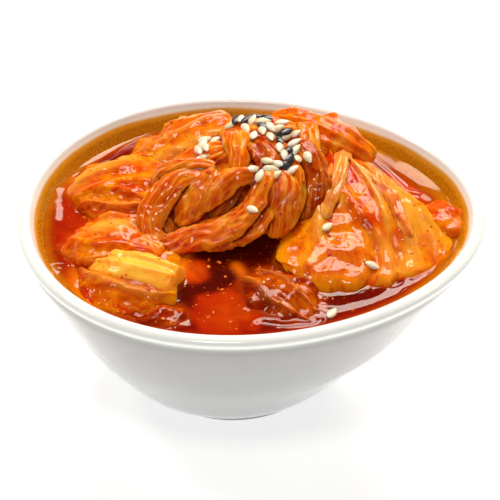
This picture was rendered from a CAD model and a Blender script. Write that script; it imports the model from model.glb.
"""Looks of kimchi in a small egg-shaped porcelain bowl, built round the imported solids.

Every class works in millimetres, and finished_piece() turns its mesh into metres. The frame
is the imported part's: origin under the middle of the bowl's outline, +X towards the bowl's
pointed end, +Y to the back, +Z up.
"""

import logging
import math
import random
from dataclasses import dataclass, field, replace
from enum import Enum
from typing import Any, Callable, Sequence

import bmesh
import bpy
from mathutils import Matrix, Vector, noise
from mathutils.bvhtree import BVHTree


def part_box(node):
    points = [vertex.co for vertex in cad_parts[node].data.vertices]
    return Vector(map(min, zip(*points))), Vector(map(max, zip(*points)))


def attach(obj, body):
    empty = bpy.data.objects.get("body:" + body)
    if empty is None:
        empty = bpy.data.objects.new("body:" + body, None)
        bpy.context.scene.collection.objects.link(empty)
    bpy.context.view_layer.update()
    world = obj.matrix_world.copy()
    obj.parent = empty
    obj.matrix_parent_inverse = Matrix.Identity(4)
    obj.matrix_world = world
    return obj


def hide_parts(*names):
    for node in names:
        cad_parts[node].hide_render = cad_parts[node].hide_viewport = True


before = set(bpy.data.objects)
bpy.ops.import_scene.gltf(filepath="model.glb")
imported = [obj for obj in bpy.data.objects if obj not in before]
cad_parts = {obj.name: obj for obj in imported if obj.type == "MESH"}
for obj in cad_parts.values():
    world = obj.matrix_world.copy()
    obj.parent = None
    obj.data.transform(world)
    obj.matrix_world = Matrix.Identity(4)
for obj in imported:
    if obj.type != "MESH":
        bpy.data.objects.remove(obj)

log = logging.getLogger("kimchi")

MM = 0.001
WELD = 1e-4                  # points closer than this are one point
BODY = "root"

Colour = tuple[float, float, float, float]
Station = tuple[float, float, float, float, float, float]
Ring = tuple[float, float, float, float]


class Slot(Enum):
    """The record's material slots."""

    PORCELAIN = "porcelain"
    JUICE = "juice"
    LEAF = "leaf"
    STRIP = "strip"


# ---------------------------------------------------------------- numbers and colours

def tint(code: str) -> Colour:
    """The linear colour of a six-digit screen colour."""
    parts = (int(code[start:start + 2], 16) / 255 for start in (0, 2, 4))
    red, green, blue = (((part + 0.055) / 1.055) ** 2.4 if part > 0.04045 else part / 12.92 for part in parts)
    return red, green, blue, 1.0


def smooth_share(value: float, low: float, high: float) -> float:
    """How far a value is from low to high, 0 to 1, eased at both ends."""
    share = min(max((value - low) / (high - low), 0.0), 1.0)
    return share * share * (3 - 2 * share)


def bell(value: float, middle: float, half_width: float) -> float:
    """A smooth bump that is 1 at its middle and fades over a half width."""
    return math.exp(-((value - middle) / half_width) ** 2)


def along_line(rows: Sequence[Sequence[float]], share: float) -> list[float]:
    """The values at a share of a smooth line through rows of values.

    Args:
        rows: The values that the line passes, in order.
        share: The place on the line, from 0 to 1.

    Returns:
        One value for each column.
    """
    last = len(rows) - 1
    spot = min(max(share, 0.0), 1.0) * last
    index = min(int(spot), last - 1)
    t = spot - index
    around = [rows[min(max(index + step, 0), last)] for step in (-1, 0, 1, 2)]
    weights = (
        (-t + 2 * t ** 2 - t ** 3) / 2,
        (2 - 5 * t ** 2 + 3 * t ** 3) / 2,
        (t + 4 * t ** 2 - 3 * t ** 3) / 2,
        (-t ** 2 + t ** 3) / 2,
    )
    return [sum(weight * row[column] for weight, row in zip(weights, around)) for column in range(len(rows[0]))]


def stepped(pairs: Sequence[tuple[float, float]], place: float) -> float:
    """The value at a place between pairs of place and value, eased from pair to pair."""
    if place <= pairs[0][0]:
        return pairs[0][1]
    for (start, low), (end, high) in zip(pairs, pairs[1:]):
        if place <= end:
            return low + (high - low) * smooth_share(place, start, end)
    return pairs[-1][1]


# ---------------------------------------------------------------- shader expressions

class Signal:
    """A shader value that takes part in Python expressions."""

    def __init__(self, graph: "Graph", socket: bpy.types.NodeSocket) -> None:
        """Wrap an output socket of a graph."""
        self.graph = graph
        self.socket = socket

    def __add__(self, other: "Signal | float") -> "Signal":
        """The sum."""
        return self.graph.math("ADD", self, other)

    __radd__ = __add__

    def __sub__(self, other: "Signal | float") -> "Signal":
        """The difference."""
        return self.graph.math("SUBTRACT", self, other)

    def __rsub__(self, other: float) -> "Signal":
        """The difference from a number."""
        return self.graph.math("SUBTRACT", other, self)

    def __mul__(self, other: "Signal | float") -> "Signal":
        """The product."""
        return self.graph.math("MULTIPLY", self, other)

    __rmul__ = __mul__

    def clipped(self) -> "Signal":
        """The value held between 0 and 1."""
        return self.graph.node("Clamp", sockets={"Value": self}, output="Result")


class Graph:
    """The nodes of one material."""

    def __init__(self, name: str) -> None:
        """Start an empty material."""
        self.material = bpy.data.materials.new(name)
        self.material.use_nodes = True
        self.tree = self.material.node_tree
        self.tree.nodes.clear()

    def node(self, kind: str, settings: dict[str, Any] | None = None,
             sockets: dict[int | str, Any] | None = None, output: int | str = 0) -> Signal:
        """Make any node.

        Args:
            kind: The node's type, without the word ShaderNode.
            settings: Its settings. "stops" holds a ramp's places and colours.
            sockets: Values or signals for its inputs.
            output: The output that is wanted.

        Returns:
            That output.
        """
        made = self.tree.nodes.new("ShaderNode" + kind)
        for key, value in (settings or {}).items():
            if key == "stops":
                elements = made.color_ramp.elements
                while len(elements) < len(value):
                    elements.new(1.0)
                for element, (place, colour) in zip(elements, value):
                    element.position = place
                    element.color = colour
            else:
                setattr(made, key, value)
        for key, value in (sockets or {}).items():
            if isinstance(value, Signal):
                self.tree.links.new(value.socket, made.inputs[key])
            else:
                made.inputs[key].default_value = value
        return Signal(self, made.outputs[output])

    def math(self, operation: str, first: Signal | float, second: Signal | float) -> Signal:
        """Two values joined by an operation."""
        return self.node("Math", {"operation": operation}, {0: first, 1: second})

    def place(self) -> Signal:
        """The place on the piece, in metres."""
        return self.node("TexCoord", output="Object")

    def painted(self, name: str) -> Signal:
        """A number painted on the mesh."""
        return self.node("Attribute", {"attribute_name": name}, output="Fac")

    def grain(self, along: float, across: float) -> Signal:
        """The place along and across a piece's fibres, in the two given lengths."""
        lay = self.node("Attribute", {"attribute_name": "grain"}, output="Vector")
        return self.node("VectorMath", {"operation": "MULTIPLY"}, {0: lay, 1: (1 / along, 1 / across, 1.0)})

    def cloud(self, where: Signal, size: float, detail: float = 2.0, roughness: float = 0.5,
              distortion: float = 0.0) -> Signal:
        """Soft noise.

        Args:
            where: The place, in metres.
            size: The size of its features, in millimetres.
            detail: How many finer layers it has.
            roughness: How strong they are.
            distortion: How much it swirls.

        Returns:
            A value round 0.5.
        """
        return self.node("TexNoise", sockets={
            "Vector": where, "Scale": 1 / (size * MM), "Detail": detail, "Roughness": roughness,
            "Distortion": distortion}, output="Fac")

    def step(self, value: Signal, low: float, high: float) -> Signal:
        """How far a value is from low to high, eased at both ends."""
        return self.node("MapRange", {"interpolation_type": "SMOOTHSTEP"},
                         {"Value": value, "From Min": low, "From Max": high}, output="Result")

    def ramp(self, value: Signal, stops: Sequence[tuple[float, Colour]]) -> Signal:
        """A colour picked from stops."""
        return self.node("ValToRGB", {"stops": stops}, {"Fac": value})

    def blend(self, share: Signal | float, first: Signal | Colour, second: Signal | Colour,
              how: str = "MIX") -> Signal:
        """A colour between two others."""
        return self.node("Mix", {"data_type": "RGBA", "blend_type": how}, {0: share, 6: first, 7: second}, output=2)

    def relief(self, height: Signal, depth: float, strength: float = 1.0) -> Signal:
        """Fine relief of a depth in millimetres."""
        return self.node("Bump", sockets={"Height": height, "Distance": depth * MM, "Strength": strength})

    def finish(self, sockets: dict[int | str, Any]) -> bpy.types.Material:
        """End the material in a Principled shader with these inputs."""
        shader = self.node("BsdfPrincipled", sockets=sockets)
        end = self.tree.nodes.new("ShaderNodeOutputMaterial")
        self.tree.links.new(shader.socket, end.inputs["Surface"])
        return self.material


# ---------------------------------------------------------------- finishes

@dataclass(frozen=True)
class Porcelain:
    """White glaze, with the amber film that the juice leaves inside the lip."""

    glaze: Colour = tint("F4F8F4")
    body: Colour = tint("A2A3A2")
    cream: Colour = tint("F0ECD4")
    honey: Colour = tint("DE9628")
    amber: Colour = tint("D28C0A")
    umber: Colour = tint("B06800")
    speck_size: float = 0.55
    roughness: float = 0.14
    glow: float = 0.17

    def material(self) -> bpy.types.Material:
        """The glaze as a material."""
        graph = Graph("porcelain")
        place = graph.place()
        film = graph.painted("film")
        mottle = graph.cloud(place, self.speck_size, 3.0, 0.65)
        drift = graph.cloud(place, 7.0, 2.0)
        stain = graph.ramp((film + (drift - 0.5) * film * 0.5).clipped(), (
            (0.0, self.glaze), (0.16, self.cream), (0.42, self.honey), (0.72, self.amber), (1.0, self.umber)))
        grainy = graph.blend(film * 0.55, stain, graph.blend(
            graph.step(mottle, 0.30, 0.70), self.umber, self.amber))
        wave = graph.cloud(place, 9.0, 1.0)
        walled = graph.blend(graph.painted("below"), grainy, self.body)
        return graph.finish({
            "Base Color": walled,
            "Roughness": self.roughness + film * graph.step(mottle, 0.3, 0.8) * 0.3,
            "Normal": graph.relief(wave + mottle * film * 0.12, 0.12),
            "IOR": 1.5,
            "Coat Weight": 0.3 - film * 0.3,
            "Coat Roughness": 0.05,
            "Emission Color": walled,
            "Emission Strength": self.glow,
        })


@dataclass(frozen=True)
class Broth:
    """The juice, whose depth is painted on its surface."""

    ripple: float = 6.0
    roughness: float = 0.04

    def material(self) -> bpy.types.Material:
        """The juice as a material."""
        graph = Graph("juice")
        place = graph.place()
        depth = graph.node("Attribute", {"attribute_name": "depth_colour"}, output="Color")
        swirl = graph.cloud(place, 4.5, 3.0, 0.55, 0.6)
        fine = graph.cloud(place, 0.9, 2.0)
        shaded = graph.blend(graph.step(swirl, 0.35, 0.75) * 0.35, depth, tint("A02C00"), "MULTIPLY")
        speckled = graph.blend(graph.step(fine, 0.66, 0.74) * 0.5, shaded, tint("F07A10"))
        return graph.finish({
            "Base Color": speckled,
            "Roughness": self.roughness,
            "Normal": graph.relief(graph.cloud(place, self.ripple, 1.0), 0.04),
            "IOR": 1.4,
            "Specular IOR Level": 0.34,
            "Subsurface Weight": 0.3,
            "Subsurface Radius": (1.0, 0.25, 0.05),
            "Subsurface Scale": 1.0 * MM,
        })


@dataclass(frozen=True)
class Cabbage:
    """Soaked cabbage: fibres, pale ribs, bright thin margins, red sauce and dark crevices."""

    name: str
    deep: Colour
    body: Colour
    light: Colour
    rib: Colour
    margin: Colour
    sauce: Colour
    shade: Colour
    sauce_share: float = 0.5
    fibre: float = 0.8
    streak: float = 0.25
    wet: float = 0.65
    inner_light: float = 0.1
    glow: float = 0.7
    bump: float = 0.15
    crevice: tuple[float, float] = (0.22, 0.75)
    patch_size: float = 5.0

    def material(self) -> bpy.types.Material:
        """The cabbage as a material."""
        graph = Graph(self.name)
        place = graph.place()
        fibres = graph.node("TexNoise", sockets={
            "Vector": graph.grain(6.0, self.fibre), "Scale": 1.0, "Detail": 3.0, "Roughness": 0.6,
            "Distortion": 0.4}, output="Fac")
        threads = graph.node("TexNoise", sockets={
            "Vector": graph.grain(9.0, self.fibre * 0.45), "Scale": 1.0, "Detail": 1.0}, output="Fac")
        patches = graph.cloud(place, self.patch_size, 3.0, 0.55, 0.5)
        fine = graph.cloud(place, 0.8, 3.0, 0.6)
        crevice = graph.painted("crevice")
        tissue = graph.ramp(fibres * self.streak + patches * (1 - self.streak), (
            (0.38, self.deep), (0.50, self.body), (0.62, self.light)))
        threaded = graph.blend(graph.step(threads, 0.55, 0.75) * (self.streak * 0.8), tissue, self.rib)
        threaded = graph.blend(graph.step(threads, 0.46, 0.28) * (self.streak * 0.9), threaded, self.sauce)
        ribbed = graph.blend((graph.painted("rib") * (0.3 + fibres * 0.9)).clipped(), threaded, self.rib)
        thin = graph.blend(graph.painted("margin"), ribbed, self.margin)
        pool = graph.cloud(place, 3.2, 3.0, 0.6, 0.8)
        start = 0.80 - self.sauce_share * 0.35
        soaked = graph.step(pool + graph.painted("soak") * 0.22 + crevice * 0.35, start, start + 0.22)
        sauced = graph.blend(soaked * (0.85 - graph.painted("rib") * 0.6), thin, self.sauce)
        speck = graph.step(graph.cloud(place, 0.45, 1.0), 0.68, 0.74) * graph.step(patches, 0.4, 0.6)
        dotted = graph.blend(speck * 0.6, sauced, tint("B01800"))
        shaded = graph.blend(graph.step(crevice, *self.crevice) * 0.92, dotted, self.shade)
        return graph.finish({
            "Base Color": shaded,
            "Roughness": 0.5 - soaked * 0.1,
            "Normal": graph.relief(fibres * self.streak + fine * 0.4, self.bump),
            "Specular IOR Level": 0.0,
            "Coat Weight": self.wet,
            "Coat Roughness": 0.02,
            "Coat IOR": 1.4,
            "Subsurface Weight": self.glow,
            "Subsurface Radius": (1.0, 0.35, 0.03),
            "Subsurface Scale": 2.2 * MM,
            "Emission Color": shaded,
            "Emission Strength": self.inner_light,
        })


@dataclass(frozen=True)
class Dry:
    """A plain uneven finish for seeds, flakes and bubbles."""

    name: str
    dark: Colour
    pale: Colour
    size: float
    roughness: float
    coat: float = 0.5
    shine: float = 0.5

    def material(self) -> bpy.types.Material:
        """The finish as a material."""
        graph = Graph(self.name)
        place = graph.place()
        drift = graph.cloud(place, self.size, 2.0)
        fine = graph.cloud(place, self.size / 6, 2.0)
        return graph.finish({
            "Base Color": graph.ramp(drift * 0.75 + fine * 0.25, ((0.36, self.dark), (0.60, self.pale))),
            "Roughness": self.roughness + fine * 0.1,
            "Normal": graph.relief(fine, 0.05),
            "Specular IOR Level": self.shine,
            "Coat Weight": self.coat,
            "Coat Roughness": 0.08,
        })


LEAF_FINISH = Cabbage(
    "leaf", deep=tint("C43000"), body=tint("DE6000"), light=tint("EE9004"), rib=tint("F2AA3C"),
    margin=tint("F89808"), sauce=tint("D22800"), shade=tint("A01400"), sauce_share=0.42)
STRIP_FINISH = Cabbage(
    "strip", deep=tint("C43400"), body=tint("EE6E06"), light=tint("FA9C24"), rib=tint("FCB250"),
    margin=tint("FC9810"), sauce=tint("CC3000"), shade=tint("781000"), sauce_share=0.42, fibre=0.7, streak=0.6,
    wet=0.85, glow=0.8, inner_light=0.12, bump=0.15, crevice=(0.12, 0.62), patch_size=4.5)
BROWN_FINISH = replace(
    STRIP_FINISH, name="brown_strip", deep=tint("9C2800"), body=tint("C45408"), light=tint("E08828"),
    rib=tint("ECA050"), margin=tint("E08010"), sauce=tint("A82400"), wet=0.6, inner_light=0.04)
SKIRT_FINISH = replace(
    LEAF_FINISH, name="skirt", deep=tint("B03400"), body=tint("CC5A00"), light=tint("E88408"), wet=0.45, inner_light=0.0)
SOAKED_FINISH = Cabbage(
    "soaked_leaf", deep=tint("801800"), body=tint("AC3A00"), light=tint("CC6400"), rib=tint("E08C38"),
    margin=tint("E08410"), sauce=tint("981800"), shade=tint("600C00"), sauce_share=0.5, wet=0.7,
    inner_light=0.0)
RIB_FINISH = Cabbage(
    "stem", deep=tint("FF9200"), body=tint("FFA818"), light=tint("FFBC40"), rib=tint("FFC450"),
    margin=tint("FF8C00"), sauce=tint("F06800"), shade=tint("F06000"), sauce_share=0.4, fibre=1.6, streak=0.15,
    wet=0.8, glow=0.6, inner_light=0.3, bump=0.08, crevice=(0.5, 1.0))


# ---------------------------------------------------------------- meshes

def placed_grid(columns: int, rows: int, place: Callable[[float, float], Vector],
                paints: dict[str, Callable[[float, float], float]] | None = None) -> bmesh.types.BMesh:
    """A grid whose points are placed by a function of two shares and welded where they meet.

    Args:
        columns: The number of faces in the first direction.
        rows: The number of faces in the second direction.
        place: Gives the place of a pair of shares from 0 to 1.
        paints: Numbers to paint on the points, each by a function of the two shares.

    Returns:
        The mesh, with its faces pointing out.
    """
    bm = bmesh.new()
    bmesh.ops.create_grid(bm, x_segments=columns, y_segments=rows, size=0.5)
    layers = {name: bm.verts.layers.float.new(name) for name in (paints or {})}
    for vert in bm.verts:
        first = min(max(vert.co.x + 0.5, 0.0), 1.0)
        second = min(max(vert.co.y + 0.5, 0.0), 1.0)
        vert.co = place(first, second)
        for name, layer in layers.items():
            vert[layer] = paints[name](first, second)
    bmesh.ops.remove_doubles(bm, verts=bm.verts, dist=WELD)
    bmesh.ops.recalc_face_normals(bm, faces=bm.faces)
    return bm


def absorb(bm: bmesh.types.BMesh, part: bmesh.types.BMesh) -> None:
    """Move the mesh of a part into another mesh."""
    mesh = bpy.data.meshes.new("part")
    part.to_mesh(mesh)
    part.free()
    bm.from_mesh(mesh)
    bpy.data.meshes.remove(mesh)


def finished_piece(name: str, bm: bmesh.types.BMesh, slot: Slot, material: bpy.types.Material,
                   nodes: Sequence[str] = ()) -> bpy.types.Object:
    """Turn a mesh in millimetres into a piece that rides on the body.

    Args:
        name: The piece's name.
        bm: Its mesh, which is used up.
        slot: The record's material slot that it belongs to.
        material: Its material.
        nodes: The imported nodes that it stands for.

    Returns:
        The piece.
    """
    bmesh.ops.scale(bm, vec=(MM, MM, MM), verts=bm.verts)
    mesh = bpy.data.meshes.new(name)
    bm.to_mesh(mesh)
    bm.free()
    mesh.materials.append(material)
    mesh.shade_smooth()
    piece = bpy.data.objects.new(name, mesh)
    bpy.context.scene.collection.objects.link(piece)
    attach(piece, BODY)
    if nodes:
        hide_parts(*nodes)
    log.info("%s: %d faces", name, len(mesh.polygons))
    return piece


# ---------------------------------------------------------------- the bowl

@dataclass
class Bowl:
    """The egg-shaped bowl over its elliptical foot, which sits off centre."""

    egg: float = 0.022
    foot_half_length: float = 18.4
    foot_half_width: float = 17.5
    foot_shift: float = -3.9
    steps: int = 176
    rows_per_ring: int = 3
    outside: Sequence[Ring] = (
        (0.0, 0.0, 0.0, 0.5), (0.5, 0.0, 0.0, 0.0), (1.2, 0.0, 0.0, 0.0), (1.6, 0.0, 0.0, 0.5),
        (2.3, 0.06, 0.04, 0.0), (5.2, 0.23, 0.16, 0.0), (12.6, 0.455, 0.36, 0.0), (21.0, 0.66, 0.62, 0.0),
        (31.0, 0.862, 0.826, 0.0), (37.2, 0.955, 0.945, 0.0), (39.3, 1.0, 1.0, 0.9), (40.1, 1.0, 1.0, 0.3),
        (40.9, 1.0, 1.0, 0.0), (41.6, 1.0, 1.0, 0.45), (42.0, 1.0, 1.0, 1.5), (41.65, 1.0, 1.0, 2.6))
    inside: Sequence[Ring] = (
        (40.7, 1.0, 1.0, 3.2), (38.4, 1.0, 1.0, 5.0), (34.5, 0.93, 0.92, 5.6), (28.0, 0.80, 0.77, 4.6),
        (20.0, 0.63, 0.58, 4.2), (12.0, 0.43, 0.35, 3.8), (7.5, 0.24, 0.18, 3.4), (5.4, 0.0, 0.0, 4.6))
    recess: Sequence[Ring] = ((1.3, 0.0, 0.0, 17.0), (1.3, 0.0, 0.0, 4.2), (1.2, 0.0, 0.0, 3.0), (0.0, 0.0, 0.0, 2.3))
    floor_middle: Ring = (5.4, 0.0, 0.0, 17.0)
    top: float = 42.0
    film_top: float = 41.0
    film_full: float = 39.2

    def __post_init__(self) -> None:
        """Take the rim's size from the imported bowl."""
        low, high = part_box("bowl")
        self.half_length = (high.x - low.x) / 2 / MM
        self.half_width = (high.y - low.y) / 2 / MM
        self.rings = [*self.recess, *self.outside, *self.inside, self.floor_middle]
        self.crest = len(self.recess) + len(self.outside) - 2

    def point(self, angle: float, ring: Sequence[float], extra_inset: float = 0.0) -> Vector:
        """A point of a ring of the bowl.

        Args:
            angle: The angle round the bowl.
            ring: Height, runs at the blunt and at the pointed end, and inset.
            extra_inset: A further inset.

        Returns:
            The point.
        """
        height, blunt, pointed, inset = ring
        rim = Vector((self.half_length * (math.cos(angle) + self.egg * (math.cos(2 * angle) - 1)),
                      self.half_width * (math.sin(angle) - self.egg * math.sin(2 * angle))))
        foot = Vector((self.foot_shift + self.foot_half_length * math.cos(angle),
                       self.foot_half_width * math.sin(angle)))
        plan = foot.lerp(rim, blunt + (pointed - blunt) * (1 + math.cos(angle)) / 2)
        outward = Vector((math.cos(angle) / self.half_length, math.sin(angle) / self.half_width)).normalized()
        plan -= outward * (inset + extra_inset)
        return Vector((plan.x, plan.y, height))

    def wall(self, angle: float, height: float, extra_inset: float = 0.0) -> Vector:
        """The point of the inner wall at an angle and a height."""
        for above, below in zip(self.inside, self.inside[1:]):
            if height >= below[0]:
                break
        share = (height - below[0]) / (above[0] - below[0])
        ring = [low + (high - low) * share for low, high in zip(below, above)]
        return self.point(angle, ring, extra_inset)

    def build(self) -> tuple[bpy.types.Object, BVHTree]:
        """The bowl as a piece, and its surface for finding depths."""
        count = len(self.rings) - 1

        def place(first: float, second: float) -> Vector:
            """A point of the profile's row at a turn."""
            height, blunt, pointed, inset = along_line(self.rings, first)
            held = (min(max(height, 0.0), self.top), min(blunt, 1.0), min(pointed, 1.0), max(inset, 0.0))
            return self.point(2 * math.pi * second, held)

        def below(first: float, _: float) -> float:
            """How far under the lip the outer wall is."""
            if first * count > self.crest:
                return 0.0
            return smooth_share(along_line(self.rings, first)[0], self.top - 1.6, self.top - 3.6)

        def film(first: float, second: float) -> float:
            """How thick the amber film is."""
            if first * count < self.crest:
                return 0.0
            height = along_line(self.rings, first)[0]
            turn = 2 * math.pi * second
            edge = 0.35 * noise.noise(Vector((3 * math.cos(turn), 3 * math.sin(turn), 2.0)))
            return smooth_share(height, self.film_top + edge, self.film_full + edge)

        bm = placed_grid(count * self.rows_per_ring, self.steps, place, {"film": film, "below": below})
        surface = BVHTree.FromBMesh(bm)
        piece = finished_piece("porcelain_bowl", bm, Slot.PORCELAIN, Porcelain().material(), ["bowl"])
        return piece, surface


# ---------------------------------------------------------------- cabbage

@dataclass(frozen=True)
class Crease:
    """A rib or a groove along a piece.

    across is its place from -1 to 1, width its half width as a share of the piece's half
    width, height how far it stands up or, below 0, sinks in, and start and end the shares
    of the length that it runs over. pale is how much of the pale rib colour it shows.
    """

    across: float
    width: float
    height: float
    start: float = -0.2
    end: float = 1.2
    pale: float = 0.0

    def weight(self, across: float, share: float) -> float:
        """How strong it is at a place."""
        fade = smooth_share(share, self.start - 0.08, self.start + 0.08) * smooth_share(share, self.end + 0.08, self.end - 0.08)
        wander = 0.08 * math.sin(7 * share + 9 * self.across)
        return bell(across, self.across + wander, self.width) * fade


@dataclass
class Ribbon:
    """A strip or leaf: a flattened section that follows its stations.

    A station is x, y, z of the middle, width, thickness and the roll of the section in
    degrees. front lists how far the far edge reaches out at places across.
    """

    name: str
    stations: Sequence[Station]
    rows: int = 80
    points: int = 64
    arch: float = 0.8
    ruffle: float = 0.0
    waves: float = 2.5
    pleats: float = 0.0
    pleat_depth: float = 0.18
    ragged: float = 0.10
    fibre_depth: float = 0.035
    furrow_depth: float = 0.10
    furrow_width: float = 1.3
    furrow_length: float = 7.0
    lump_depth: float = 0.25
    lump_size: float = 3.2
    crinkle: float = 0.8
    ripple_depth: float = 0.16
    scallop: float = 0.0
    start_round: float = 2.0
    end_round: float = 2.0
    blunt: float = 0.25
    fullness: float = 0.55
    creases: Sequence[Crease] = ()
    front: Sequence[tuple[float, float]] = ((-1.0, 0.0), (1.0, 0.0))
    margin: float = 0.0
    rib: float = 0.0
    sauced: float = 0.0
    sauced_start: float = 0.0
    seed: float = 0.0

    def frames(self) -> list[tuple[Vector, Vector, Vector, Vector, float, float, float]]:
        """Middle, along, side, up, half width, half thickness and length so far of each row."""
        lines = [along_line(self.stations, row / self.rows) for row in range(self.rows + 1)]
        middles = [Vector(line[:3]) for line in lines]
        found = []
        side = None
        length = 0.0
        for row, line in enumerate(lines):
            ahead = middles[min(row + 1, self.rows)]
            behind = middles[max(row - 1, 0)]
            along = (ahead - behind).normalized()
            if side is None:
                side = along.cross(Vector((0, 0, 1))).normalized()
            else:
                side = found[-1][1].rotation_difference(along) @ side
                length += (middles[row] - middles[row - 1]).length
            rolled = Matrix.Rotation(math.radians(line[5]), 3, along) @ side
            found.append((middles[row], along, side, rolled, line[3] / 2, line[4] / 2, length))
        return [(middle, along, rolled, rolled.cross(along), wide, thick, run)
                for middle, along, _, rolled, wide, thick, run in found]

    def build(self) -> bmesh.types.BMesh:
        """The mesh of the piece, with its grain, ribs, margins and soaked parts painted on."""
        rows = self.frames()
        total = rows[-1][6]

        def tip(run: float) -> float:
            """How open the section is this far along, 0 at a closed end."""
            near = min(run / self.start_round, 1.0) if self.start_round else 1.0
            far = min((total - run) / self.end_round, 1.0) if self.end_round else 1.0
            return math.sqrt(max(1 - (1 - near) ** 2, 0.0)) * math.sqrt(max(1 - (1 - far) ** 2, 0.0))

        def place(first: float, second: float) -> Vector:
            """A point of the section at a share of the length."""
            middle, along, side, up, wide, thick, run = rows[round(first * self.rows)]
            angle = 2 * math.pi * second
            across, rise = math.cos(angle), math.sin(angle)
            opened = tip(run)
            torn = noise.noise(Vector((run / 3.5, 9.0 * math.copysign(1, across), self.seed)))
            torn += 0.5 * noise.noise(Vector((run / 1.1, 5.0 * math.copysign(1, across), self.seed)))
            half = wide * (self.blunt + (1 - self.blunt) * opened) * (1 + self.ragged * torn * abs(across))
            scallop = self.scallop * abs(math.sin(half * across / 1.3 + self.seed)) * smooth_share(first, 0.8, 1.0)
            lift = thick * math.copysign(abs(rise) ** self.fullness, rise)
            wave = math.sin(2 * math.pi * (self.waves * first + 0.13 * self.seed + 0.25 * math.copysign(1, across)))
            lift += self.arch * (0.5 - across ** 2) + self.ruffle * wave * abs(across) ** 3
            sway = 0.9 * noise.noise(Vector((run / 6.0, 3.0, self.seed)))
            if self.pleats:
                lift += self.pleat_depth * math.sin(math.pi * self.pleats * (across + sway) + 2.1 * self.seed)
            for crease in self.creases:
                lift += crease.height * crease.weight(across, first) * smooth_share(rise, -0.2, 0.5)
            reach = stepped(self.front, across) * smooth_share(first, 0.45, 1.0)
            return middle + side * (half * across) + up * (lift * opened) + along * (reach + scallop)

        def run_of(first: float, _: float) -> float:
            """The length so far."""
            return rows[round(first * self.rows)][6]

        def across_of(first: float, second: float) -> float:
            """The distance from the middle line."""
            return rows[round(first * self.rows)][4] * math.cos(2 * math.pi * second)

        def rib_of(first: float, second: float) -> float:
            """How pale the tissue is."""
            across = math.cos(2 * math.pi * second)
            return min(self.rib + sum(c.pale * c.weight(across, first) for c in self.creases), 1.0)

        def margin_of(first: float, second: float) -> float:
            """How thin and bright the tissue is."""
            run = rows[round(first * self.rows)][6]
            beside = smooth_share(abs(math.cos(2 * math.pi * second)), 0.72, 1.0)
            beyond = smooth_share(total - run, 3.5, 0.5)
            return self.margin * max(beside, beyond)

        bm = placed_grid(self.rows, self.points, place,
                         {"run": run_of, "wide": across_of, "rib": rib_of, "margin": margin_of})
        self.wrinkle(bm)
        return bm

    def wrinkle(self, bm: bmesh.types.BMesh) -> None:
        """Push the surface in and out along its fibres and lumps, and paint the grain."""
        grain = bm.verts.layers.float_vector.new("grain")
        soak = bm.verts.layers.float.new("soak")
        run, wide = bm.verts.layers.float["run"], bm.verts.layers.float["wide"]
        bm.normal_update()
        total = max(vert[run] for vert in bm.verts)
        moves = []
        for vert in bm.verts:
            drift = noise.noise_vector(vert.co / 5.0 + Vector((self.seed, 0, 0)))
            along, across = vert[run] + 2.0 * drift.x, vert[wide] + 1.0 * drift.y
            vert[grain] = Vector((along, across, self.seed * 7.3))
            fibre = noise.noise(Vector((along / 6, across / 0.5, self.seed)))
            furrow = noise.noise(Vector((along / self.furrow_length, across / self.furrow_width, self.seed + 4)))
            lump = noise.noise(vert.co / self.lump_size + Vector((self.seed, 0, 0)))
            lump -= self.crinkle * abs(noise.noise(vert.co / self.lump_size * 1.3 + Vector((0, self.seed, 0))))
            ripple = noise.noise(vert.co / 1.7 + Vector((self.seed, 0, 0)))
            push = fibre * self.fibre_depth + furrow * self.furrow_depth + lump * self.lump_depth
            push += ripple * self.ripple_depth
            vert[soak] = self.sauced + self.sauced_start * smooth_share(vert[run] / total, 0.7, 0.2)
            vert[soak] += smooth_share(vert.co.z, LEVEL + 3.0, LEVEL - 0.2) - 0.3 * furrow
            moves.append((vert, vert.normal * push))
        for vert, move in moves:
            vert.co += move
        for layer in ("run", "wide"):
            bm.verts.layers.float.remove(bm.verts.layers.float[layer])
        bm.normal_update()


@dataclass
class Strip(Ribbon):
    """A narrow torn strip, whose fibres run deep."""

    fibre_depth: float = 0.09
    furrow_depth: float = 0.24
    furrow_width: float = 1.1
    furrow_length: float = 9.0
    ripple_depth: float = 0.08


@dataclass
class Ground:
    """The surfaces of several pieces taken together, for finding depths and crevices."""

    reach: float = 5.0
    points: list[Vector] = field(default_factory=list)
    faces: list[list[int]] = field(default_factory=list)
    colours: list[Colour] = field(default_factory=list)
    tree: BVHTree | None = None

    def add(self, bm: bmesh.types.BMesh, colour: Colour) -> None:
        """Take in a piece, with the colour that it shows through the juice."""
        self.colours += [colour] * len(bm.faces)
        start = len(self.points)
        bm.verts.index_update()
        self.points += [vert.co.copy() for vert in bm.verts]
        self.faces += [[start + vert.index for vert in face.verts] for face in bm.faces]

    def close(self) -> None:
        """End taking pieces in."""
        self.tree = BVHTree.FromPolygons(self.points, self.faces)

    def paint_crevices(self, bm: bmesh.types.BMesh) -> None:
        """Paint how closely the other surfaces stand round each point of a piece."""
        ways = [Vector((x, y, z)).normalized() for x in (-1, 0, 1) for y in (-1, 0, 1) for z in (-1, 0, 1)
                if abs(x) + abs(y) + abs(z) in (1, 3)]
        layer = bm.verts.layers.float.new("crevice")
        bm.normal_update()
        for vert in bm.verts:
            if vert.co.z < LEVEL - 0.6:
                vert[layer] = 0.5
                continue
            start = vert.co + vert.normal * 0.12
            met = total = 0.0
            for way in ways:
                facing = way.dot(vert.normal)
                if facing > 0.1:
                    total += facing
                    distance = self.tree.ray_cast(start, way, self.reach)[3]
                    if distance is not None:
                        met += facing * (1 - distance / self.reach)
            vert[layer] = met / total


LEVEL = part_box("juice")[1].z / MM


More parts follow.
